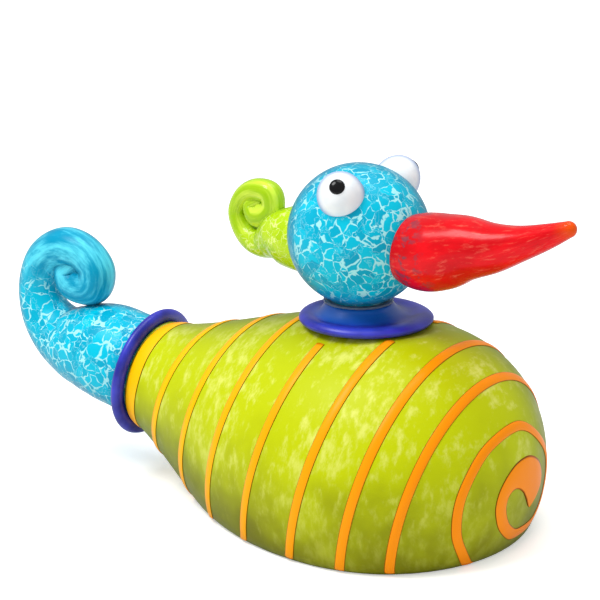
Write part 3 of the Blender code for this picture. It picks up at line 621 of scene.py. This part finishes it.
def paint_tail(tree, place, uv):
    """Frit on the root, drawn out into streaks along the scroll."""
    along = node(tree, "ShaderNodeSeparateXYZ", {0: uv}).outputs[0]
    streaks = use_group(tree, STREAKS, UV=uv, Along=9.0, Around=11.0, Light=linear(96, 224, 244),
                        Dark=linear(0, 150, 188), Bias=0.5)["Color"]
    return mixed(tree, stretch(tree, along, 0.42, 0.56), paint_turquoise(tree, place, uv), streaks)


def paint_thread(tree, place, uv):
    """Yellow at the tail, orange at the nose, and a thin red-brown line along each edge, partly the thread's
    own dark rim and partly painted shade at its step onto the body.
    """
    parts = node(tree, "ShaderNodeSeparateXYZ", {0: uv}).outputs
    body = mixed(tree, stretch(tree, parts[0], 0.05, 0.9), linear(255, 196, 0), linear(255, 146, 0))
    away = maths(tree, "ABSOLUTE", maths(tree, "SUBTRACT", parts[1], 0.5))
    # Painted shade together with the thread's dark rim: the red-brown line along both edges.
    return mixed(tree, stretch(tree, away, 0.42, 0.49), body, linear(92, 46, 4))


def paint_cobalt(tree, place, uv):
    """Deep violet blue, with a painted reflection of the turquoise head as lighter teal-blue towards the neck:
    the colour follows the distance from the neck's axis.
    """
    flat = node(tree, "ShaderNodeVectorMath", {0: place, 1: (1.0, 1.0, 0.0)}, operation="MULTIPLY").outputs[0]
    away = node(tree, "ShaderNodeVectorMath", {0: flat}, operation="LENGTH").outputs["Value"]
    cloud = noise(tree, place, 45.0, 3.0).outputs[0]
    rim = mixed(tree, stretch(tree, cloud, 0.35, 0.65), linear(20, 24, 148), linear(46, 52, 196))
    # Painted reflection: teal-blue near the neck's axis, the rim colours further out.
    return mixed(tree, stretch(tree, away, 0.024, 0.040), linear(0, 92, 186), rim)


def paint_red(tree, place, uv):
    """Red with fine pale flecks drawn along it, and grey frit near the head."""
    parts = node(tree, "ShaderNodeSeparateXYZ", {0: uv}).outputs
    ground = use_group(tree, STREAKS, UV=uv, Along=3.0, Around=6.0, Light=linear(238, 8, 22),
                       Dark=linear(206, 0, 14), Bias=0.5)["Color"]
    flecks = use_group(tree, STREAKS, UV=uv, Along=16.0, Around=42.0, Light=linear(255, 255, 255),
                       Dark=linear(0, 0, 0), Bias=0.34)["Streak Mask"]
    flecked = mixed(tree, maths(tree, "MULTIPLY", flecks, 0.42), ground, linear(255, 140, 112))
    grey = stretch(tree, noise(tree, place, 130.0, 3.0, 0.6).outputs[0], 0.52, 0.6)
    grey = maths(tree, "MULTIPLY", grey, stretch(tree, parts[0], 0.12, 0.26, 0.75, 0.0))
    return mixed(tree, stretch(tree, parts[0], 0.84, 0.99), mixed(tree, grey, flecked, linear(120, 60, 76)),
                 linear(238, 84, 0))


def paint_lime(tree, place, uv):
    """Pale frit near the head, long streaks along the curl."""
    along = node(tree, "ShaderNodeSeparateXYZ", {0: uv}).outputs[0]
    streaks = use_group(tree, STREAKS, UV=uv, Along=3.0, Around=8.0, Light=linear(214, 238, 70),
                        Dark=linear(158, 200, 0), Bias=0.5)["Color"]
    frit = use_group(tree, FRIT, Vector=place, Grain=0.005, Island=linear(190, 222, 16),
                     Deep=linear(172, 208, 0), Seam=linear(222, 238, 130), Seam_Width=0.09)["Color"]
    return mixed(tree, stretch(tree, along, 0.28, 0.42), frit, streaks)


def paint_white(tree, place, uv):
    cloud = noise(tree, place, 90.0, 2.0).outputs[0]
    return mixed(tree, stretch(tree, cloud, 0.35, 0.65), linear(244, 248, 250), linear(234, 241, 246))


def paint_black(tree, place, uv):
    cloud = noise(tree, place, 200.0, 2.0).outputs[0]
    return mixed(tree, cloud, linear(6, 6, 8), linear(18, 18, 20))


# Each edge tuple, a colour and its strength, is a painted shade where the surface is seen at a grazing angle;
# on the white eyes it is a pale lavender shade.
BODY_GLASS = satin_material("satin_green_glass", paint_body, (96, 108, 0, 0.8), 0.40)
TURQUOISE = satin_material("turquoise_frit_glass", paint_turquoise, (0, 92, 128, 0.75), 0.34)
TAIL_GLASS = satin_material("turquoise_scroll_glass", paint_tail, (0, 104, 140, 0.7), 0.30)
THREAD = satin_material("orange_thread_glass", paint_thread, (240, 120, 0, 0.5), 0.36)
COBALT = satin_material("cobalt_glass", paint_cobalt, (30, 20, 120, 0.5), 0.38, specular=0.5)
RED = satin_material("red_glass", paint_red, (150, 10, 30, 0.6), 0.24, 0.12)
LIME = satin_material("lime_glass", paint_lime, (110, 160, 0, 0.7), 0.22, 0.25)
WHITE = satin_material("white_glass", paint_white, (168, 184, 216, 1.5), 0.28)
BLACK = satin_material("black_glass", paint_black, (0, 0, 0, 1.0), 0.18, 0.2)

# %% [markdown]
# ## Body and thread
# **Body.**  Free-blown green glass, hollow, with one hole at the tail and one under the neck.
# **Thread.**  A single gather of orange glass, trailed on while the body turned.

# %% Body and thread pieces
finish_piece(body_mesh(), BODY_GLASS, "root", ["body_shell"])
strips = sorted(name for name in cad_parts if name.startswith("trail_strip"))
for number, piece in enumerate(body_thread() + [nose_thread()]):
    finish_piece(piece, THREAD, "root", strips if number == 0 else [])

# %% [markdown]
# ## Collars
# **Neck collar.**  A dished disc of cobalt glass, spun out flat from a hot gather.  Its hole is round about
# the neck, but its rim sits a little forward of it, because the disc sagged as it was spun.
# **Tail ring.**  A wrap of the same cobalt, pressed to an oval section at the mouth of the body.

# %% Collars
COLLAR_RIM, COLLAR_HALF, COLLAR_NECK_RISE = 0.1434, 3.6 * MM, 10.2 * MM
RING_COLUMNS = 144
TAIL_RING_INNER, TAIL_RING_OUTER, TAIL_RING_HALF = 36.9 * MM, 47.7 * MM, 4.2 * MM
BODY_MOUTH = AXIS_MIDDLE - 0.5 * BODY_LENGTH * ALONG + TAIL_RISE * UPWARD


def neck_collar_mesh():
    """Rings from the bore's circle (share 0) to the rim's circle (share 1), offset with the share."""
    half, neck = COLLAR_HALF, COLLAR_RIM + COLLAR_NECK_RISE
    shape = np.array([
        (0.0, COLLAR_RIM - half), (0.0, neck - 0.6 * MM), (0.02, neck), (0.08, neck - 0.8 * MM),
        (0.15, neck - 3.2 * MM), (0.27, COLLAR_RIM + half + 0.6 * MM),
        (0.40, COLLAR_RIM + half - 1.2 * MM), (0.52, COLLAR_RIM + half - 1.3 * MM),
        (0.70, COLLAR_RIM + half - 0.3 * MM), (0.84, COLLAR_RIM + 0.92 * half),
        (0.93, COLLAR_RIM + 0.68 * half), (0.985, COLLAR_RIM + 0.3 * half), (1.0, COLLAR_RIM),
        (0.985, COLLAR_RIM - 0.35 * half), (0.93, COLLAR_RIM - 0.75 * half), (0.84, COLLAR_RIM - half)])
    knots = np.arange(len(shape))
    smooth = smooth_through(knots, shape, np.linspace(1, len(shape) - 1, 96))
    smooth = np.concatenate([shape[:1], smooth])
    share, z = np.clip(smooth[:, 0:1], 0, 1), smooth[:, 1:2]
    turn = np.linspace(0, TAU, RING_COLUMNS, endpoint=False)
    radius = NECK_BORE + (COLLAR_RADIUS - NECK_BORE) * share
    points = np.stack([COLLAR_X * share + radius * np.cos(turn), radius * np.sin(turn),
                       np.broadcast_to(z, (len(share), RING_COLUMNS))], -1)
    return grid_mesh("neck_disc", points, loop_rows=True)


def tail_ring_mesh():
    """Oval section, 5.4 by 4.2 mm in half widths, carried round the body's axis behind its mouth."""
    inner, outer, half = TAIL_RING_INNER, TAIL_RING_OUTER, TAIL_RING_HALF
    middle = BODY_MOUTH - (half + 0.3 * MM) * ALONG
    lean = np.linspace(0, TAU, 32, endpoint=False)[:, None, None]
    turn = np.linspace(0, TAU, RING_COLUMNS, endpoint=False)[None, :, None]
    radius = (inner + outer) / 2 + (outer - inner) / 2 * np.cos(lean)
    out = np.cos(turn) * UPWARD + np.sin(turn) * np.array([0.0, 1.0, 0.0])
    return grid_mesh("tail_ring", middle + half * np.sin(lean) * ALONG + radius * out, loop_rows=True)


finish_piece(neck_collar_mesh(), COBALT, "root", ["neck_collar"])
finish_piece(tail_ring_mesh(), COBALT, "root", ["tail_collar"])

# %% [markdown]
# ## Tail
# **Tail curl.**  A second blown piece, drawn out hot and rolled into a scroll.  Its plug goes into the
# mouth of the body, in a clear sleeve.

# %% Tail
TAIL_LINE = (     # (forward, up, radius) along the scroll's middle
    (-0.1966, 0.0789, 0.0366), (-0.2121, 0.0821, 0.0362), (-0.2269, 0.0835, 0.0336),
    (-0.2420, 0.0848, 0.0292), (-0.2585, 0.0898, 0.0232), (-0.2728, 0.1030, 0.0186),
    (-0.2793, 0.1251, 0.0150), (-0.2715, 0.1468, 0.0140), (-0.2495, 0.1574, 0.0145),
    (-0.2338, 0.1535, 0.0136), (-0.2240, 0.1410, 0.0136), (-0.2272, 0.1312, 0.0140),
    (-0.2372, 0.1288, 0.0134), (-0.2480, 0.1312, 0.0122), (-0.2512, 0.1385, 0.0102),
    (-0.2460, 0.1430, 0.0080))
TAIL_PLUG = ((20, 27.0), (19.98, 31.4), (-0.2, 31.5), (-0.4, 36.4))     # (depth past the mouth, radius) in mm


def tail_mesh():
    """Plug, shoulder and scroll as one sweep that starts in the body and closes on a round tip."""
    plug = np.array([(*(BODY_MOUTH + depth * MM * ALONG)[[0, 2]], radius * MM) for depth, radius in TAIL_PLUG])
    line = np.concatenate([plug, round_tip(middle_line(TAIL_LINE, 260))])
    poles = line[[0, -1]] * ON_THE_LINE
    rings = tube(np.concatenate([poles[:1], line[:-1], poles[1:]]), 96)
    return grid_mesh("tail_scroll", rings, True, True)


finish_piece(tail_mesh(), TAIL_GLASS, "root", ["tail_curl"])

# %% [markdown]
# ## Head
# **Head.**  A blown ball with a short plug that stands in the neck, in a clear sleeve, so that the head
# lifts out and turns.  Everything on it was made about its own upright plane and then turned a little
# towards the bird's right.

# %% Head
HEAD_RADIUS, HEAD_HEIGHT, HEAD_YAW = 0.0487, 0.2003, math.radians(-5.7)
HEAD_WALL, PLUG_RADIUS, PLUG_FOOT, LIP_ROUNDING = 4 * MM, 19.5 * MM, 113.4 * MM, 0.8 * MM
HEAD_MIDDLE = np.array([0.0, 0.0, HEAD_HEIGHT])


def turn_head(points):
    """Rotation by the head's yaw about the upright axis."""
    c, s = math.cos(HEAD_YAW), math.sin(HEAD_YAW)
    return points @ np.array([[c, s, 0], [-s, c, 0], [0, 0, 1]])


def head_mesh():
    """Ball and plug outside, the same less the wall inside, turned about the neck's axis."""
    bore_radius, inside_radius = PLUG_RADIUS - HEAD_WALL, HEAD_RADIUS - HEAD_WALL
    outer = np.linspace(math.pi, math.asin(PLUG_RADIUS / HEAD_RADIUS), 90)
    inner = np.linspace(math.asin(bore_radius / inside_radius), math.pi, 40)
    skin = np.stack([HEAD_RADIUS * np.sin(outer), HEAD_HEIGHT - HEAD_RADIUS * np.cos(outer)], -1)
    bore = np.stack([inside_radius * np.sin(inner), HEAD_HEIGHT - inside_radius * np.cos(inner)], -1)
    lip = np.array([(PLUG_RADIUS, PLUG_FOOT + 1 * MM), (PLUG_RADIUS - LIP_ROUNDING, PLUG_FOOT),
                    (bore_radius + LIP_ROUNDING, PLUG_FOOT), (bore_radius, PLUG_FOOT + 1 * MM)])
    profile = np.concatenate([skin, lip, bore])
    profile[[0, -1], 0] = 0.0
    return grid_mesh("head_ball", turn_head(lathe(profile, 128)), True, True)


BEAK_LINE = (     # (forward, up, radius) along the beak's middle
    (0.0400, 0.1963, 0.0225), (0.0480, 0.1964, 0.0250), (0.0560, 0.1968, 0.0262),
    (0.0693, 0.1993, 0.0256), (0.0859, 0.2040, 0.0221), (0.1076, 0.2077, 0.0168),
    (0.1288, 0.2140, 0.0118), (0.1496, 0.2221, 0.0082), (0.1641, 0.2286, 0.0055))
CREST_LINE = (     # the same for the crest's scroll
    (-0.0410, 0.1897, 0.0232), (-0.0510, 0.1897, 0.0226), (-0.0591, 0.1893, 0.0212),
    (-0.0671, 0.1885, 0.0185), (-0.0752, 0.1850, 0.0145), (-0.0833, 0.1815, 0.0107),
    (-0.0925, 0.1826, 0.0092), (-0.1016, 0.1890, 0.0076), (-0.1068, 0.2004, 0.0066),
    (-0.1018, 0.2114, 0.0069), (-0.0882, 0.2188, 0.0080), (-0.0760, 0.2166, 0.0085),
    (-0.0745, 0.2086, 0.0084), (-0.0812, 0.2018, 0.0094), (-0.0890, 0.2018, 0.0092),
    (-0.0925, 0.2075, 0.0068), (-0.0880, 0.2105, 0.0050))


def horn_mesh(name, line, count, around=72):
    """A tapering sweep that starts inside the head's wall and ends in a round tip."""
    path = round_tip(middle_line(line, count))
    poles = path[[0, -1]] * ON_THE_LINE
    rings = tube(np.concatenate([poles[:1], path[:-1], poles[1:]]), around)
    return grid_mesh(name, turn_head(rings), True, True)


EYE_RADIUS, EYE_HEIGHT, EYE_SUNK = 16 * MM, 15.2 * MM, 2 * MM
PUPIL_RADIUS, PUPIL_LIFT, PUPIL_SUNK = 5.6 * MM, 1.3 * MM, 1.0 * MM
EYE_AXIS = (0.1755, 0.674, 0.717)                             # of the left white, mirrored for the right
LOOK = {-1: (0.365, -0.74, 0.56), 1: (0.25, 0.86, 0.45)}      # from the white's middle to its pupil's


def unit(vector):
    return np.asarray(vector, float) / np.linalg.norm(vector)


def dome_frame(side):
    """The eye's axis, the distance of its rim plane from the head's middle and its height."""
    axis = unit(np.array(EYE_AXIS) * (1, side, 1))
    base = math.sqrt(HEAD_RADIUS ** 2 - EYE_RADIUS ** 2)
    return axis, base, HEAD_RADIUS + EYE_HEIGHT - base


def eye_mesh(name, side):
    """Half an ellipsoid on the ball, with its rim carried down into the glass."""
    axis, base, height = dome_frame(side)
    across = unit(np.cross(axis, (0, 1, 0)))
    other = np.cross(axis, across)
    lean = np.linspace(0, math.pi / 2, 40)[:, None, None]
    turn = np.linspace(0, TAU, 96, endpoint=False)[None, :, None]
    out = np.cos(turn) * across + np.sin(turn) * other
    dome = axis * (base + height * np.sin(lean)) + EYE_RADIUS * np.cos(lean) * out
    sunk = axis * (base - EYE_SUNK) + np.array([0.0, EYE_RADIUS])[:, None, None] * out
    return grid_mesh(name, turn_head(HEAD_MIDDLE + np.concatenate([sunk, dome])), True, True)


def pupil_mesh(name, side):
    """A black button that follows the dome: lifted in its middle, by nothing at its edge, sunk below."""
    axis, base, height = dome_frame(side)
    look = unit(LOOK[side])
    across = unit(np.cross(look, (0, 0, 1)))
    other = np.cross(look, across)
    above, below = np.linspace(0, 1, 14), np.linspace(1, 0, 6)[1:]
    spread = np.concatenate([above, below])[:, None, None] * PUPIL_RADIUS / height
    lift = np.concatenate([PUPIL_LIFT * np.sqrt(np.clip(1 - above ** 2.6, 0, 1)),
                           np.full(len(below), -PUPIL_SUNK)])[:, None, None]
    turn = np.linspace(0, TAU, 48, endpoint=False)[None, :, None]
    ray = look + spread * (np.cos(turn) * across + np.sin(turn) * other)
    ray /= np.linalg.norm(ray, axis=-1, keepdims=True)
    along = (ray @ axis)[..., None]
    beside = np.linalg.norm(ray - along * axis, axis=-1, keepdims=True)
    reach = 1 / np.sqrt((along / height) ** 2 + (beside / EYE_RADIUS) ** 2)
    return grid_mesh(name, turn_head(HEAD_MIDDLE + axis * base + ray * (reach + lift)), True, True)


finish_piece(head_mesh(), TURQUOISE, "head", ["head_shell"])

# %% [markdown]
# **Beak.**  Solid red glass, pulled out to a point while it was soft, so its streaks run along it.

# %% Beak
finish_piece(horn_mesh("red_beak", BEAK_LINE, 110), RED, "head", ["beak"])

# %% [markdown]
# **Crest.**  Solid lime glass, pulled and rolled into a scroll behind the head.

# %% Crest
finish_piece(horn_mesh("lime_crest", CREST_LINE, 200), LIME, "head", ["crest_curl"])

# %% [markdown]
# **Eyes.**  A drop of white glass on each side of the head, and a drop of black on each white.

# %% Eyes
for name, side in (("right", -1), ("left", 1)):
    finish_piece(eye_mesh(name + "_eye", side), WHITE, "head", [name + "_eye_white"])
    finish_piece(pupil_mesh(name + "_eye_black", side), BLACK, "head", [name + "_pupil"])


# %% [markdown]
# **Sleeves.**  The two sleeves stand in for whatever beds the plugs.  They are taken to be moulded silicone
# and are kept from the engineering model.

# %% Sleeves
def paint_silicone(tree, place, uv):
    cloud = noise(tree, place, 120.0, 2.0).outputs[0]
    return mixed(tree, cloud, linear(216, 220, 222), linear(234, 236, 238))


# Its edge colour is a painted blue shade where the sleeve is seen at a grazing angle.
SILICONE = satin_material("clear_silicone_satin", paint_silicone, (60, 90, 150, 0.8), 0.45)
SILICONE.node_tree.nodes["Principled BSDF"].inputs["Transmission Weight"].default_value = 0.9
for name in ("tail_sleeve", "neck_sleeve"):
    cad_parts[name].data.materials.clear()
    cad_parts[name].data.materials.append(SILICONE)
print("sleeves kept")

# %% [markdown]
# ## Stage
# A plain pale floor, a white surround, one large soft light above on the bird's right and a weaker one
# overhead.  The camera looks a little down on the bird from its right front.

# %% Floor, light and camera
CAMERA_PLACE = np.array([0.753, -1.2562, 0.5658])
CAMERA_TARGET = np.array([-0.055, 0.0121, 0.1429])
CAMERA_LENS, CAMERA_SENSOR = 133.9, 36.0
FLOOR_HALF, FLOOR_GREY, FLOOR_GLOW, WORLD_GLOW = 9, 0.9, 0.42, 0.62
LIT = (-0.05, 0.0, 0.1)       # the lights point at the body's middle


def looking(place, target):
    """Rotation that points an object's -Z at the target with its Y upwards."""
    return Vector(np.asarray(target) - np.asarray(place)).to_track_quat("-Z", "Y").to_euler()


def soft_light(name, place, target, size, power):
    lamp = bpy.data.lights.new(name, "AREA")
    lamp.shape, lamp.size, lamp.energy = "DISK", size, power
    thing = bpy.data.objects.new(name, lamp)
    thing.location, thing.rotation_euler = place, looking(place, target)
    scene.collection.objects.link(thing)
    return thing


floor_mesh = bpy.data.meshes.new("floor")
floor_corners = [(x * FLOOR_HALF, y * FLOOR_HALF, 0) for x, y in ((-1, -1), (1, -1), (1, 1), (-1, 1))]
floor_mesh.from_pydata(floor_corners, [], [(0, 1, 2, 3)])
floor = bpy.data.objects.new("floor", floor_mesh)
scene.collection.objects.link(floor)
pale = bpy.data.materials.new("pale_floor")
pale.use_nodes = True
shader = pale.node_tree.nodes["Principled BSDF"]
shader.inputs["Base Color"].default_value = (FLOOR_GREY, FLOOR_GREY, FLOOR_GREY, 1.0)
shader.inputs["Roughness"].default_value = 0.9
shader.inputs["Specular IOR Level"].default_value = 0.0
shader.inputs["Emission Color"].default_value = (1.0, 1.0, 1.0, 1.0)
camera_only = pale.node_tree.nodes.new("ShaderNodeLightPath").outputs["Is Camera Ray"]
glow = maths(pale.node_tree, "MULTIPLY", camera_only, FLOOR_GLOW)
pale.node_tree.links.new(glow, shader.inputs["Emission Strength"])
floor_mesh.materials.append(pale)

world = bpy.data.worlds.new("white_surround")
world.use_nodes = True
world.node_tree.nodes["Background"].inputs["Color"].default_value = (1.0, 1.0, 1.0, 1.0)
world.node_tree.nodes["Background"].inputs["Strength"].default_value = WORLD_GLOW
scene.world = world
soft_light("key", (-0.7, -0.9, 1.9), LIT, 0.9, 26.0)
soft_light("overhead", (0.1, 0.3, 2.0), LIT, 1.2, 14.0)

camera_data = bpy.data.cameras.new("camera")
camera_data.lens, camera_data.sensor_width = CAMERA_LENS, CAMERA_SENSOR
camera = bpy.data.objects.new("camera", camera_data)
camera.location, camera.rotation_euler = CAMERA_PLACE, looking(CAMERA_PLACE, CAMERA_TARGET)
scene.collection.objects.link(camera)
scene.camera = camera
scene.view_settings.view_transform = "Standard"
print("stage ready")
